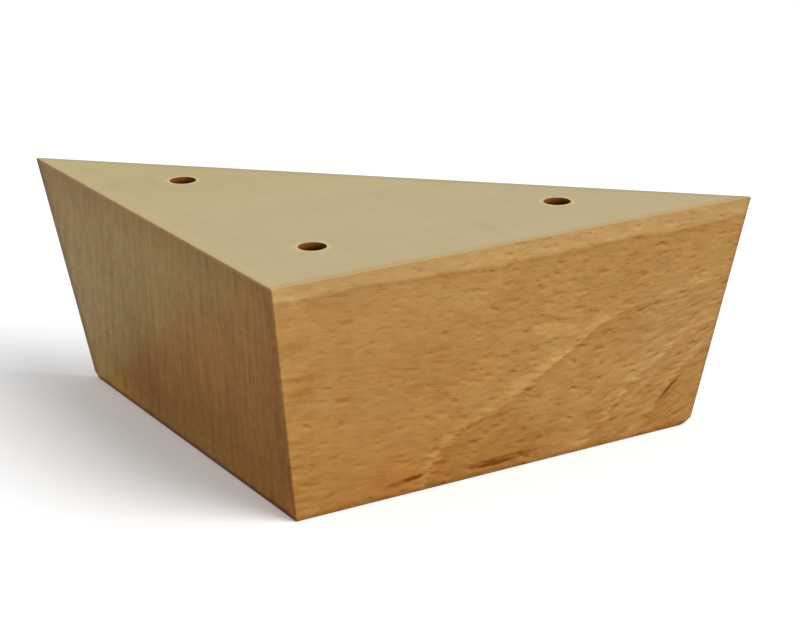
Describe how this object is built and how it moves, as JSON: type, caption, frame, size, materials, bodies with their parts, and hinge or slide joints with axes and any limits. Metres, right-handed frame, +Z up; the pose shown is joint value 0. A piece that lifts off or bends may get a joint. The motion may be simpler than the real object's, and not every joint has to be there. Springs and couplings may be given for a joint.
{
  "type": "wooden furniture leg",
  "caption": "Low triangular corner foot of solid wood with inward-leaning outer faces, an upright back and screw holes counterbored from the sole.",
  "frame": {"origin": "on the floor, in the middle of the foot's width and depth", "axes": "+Z up from the sole to the mounting face; the right-angled corner points along -Y, the long upright back face looks along +Y, and the two tips lie along -X and +X"},
  "size_m": [0.1546, 0.0776, 0.05],
  "materials": {
    "beech": "solid beech, sanded, with a thin clear satin lacquer on the sides; the mounting face on top is bare and paler"
  },
  "bodies": {
    "root": {"leg_block": "beech"}
  },
  "joints": []
}
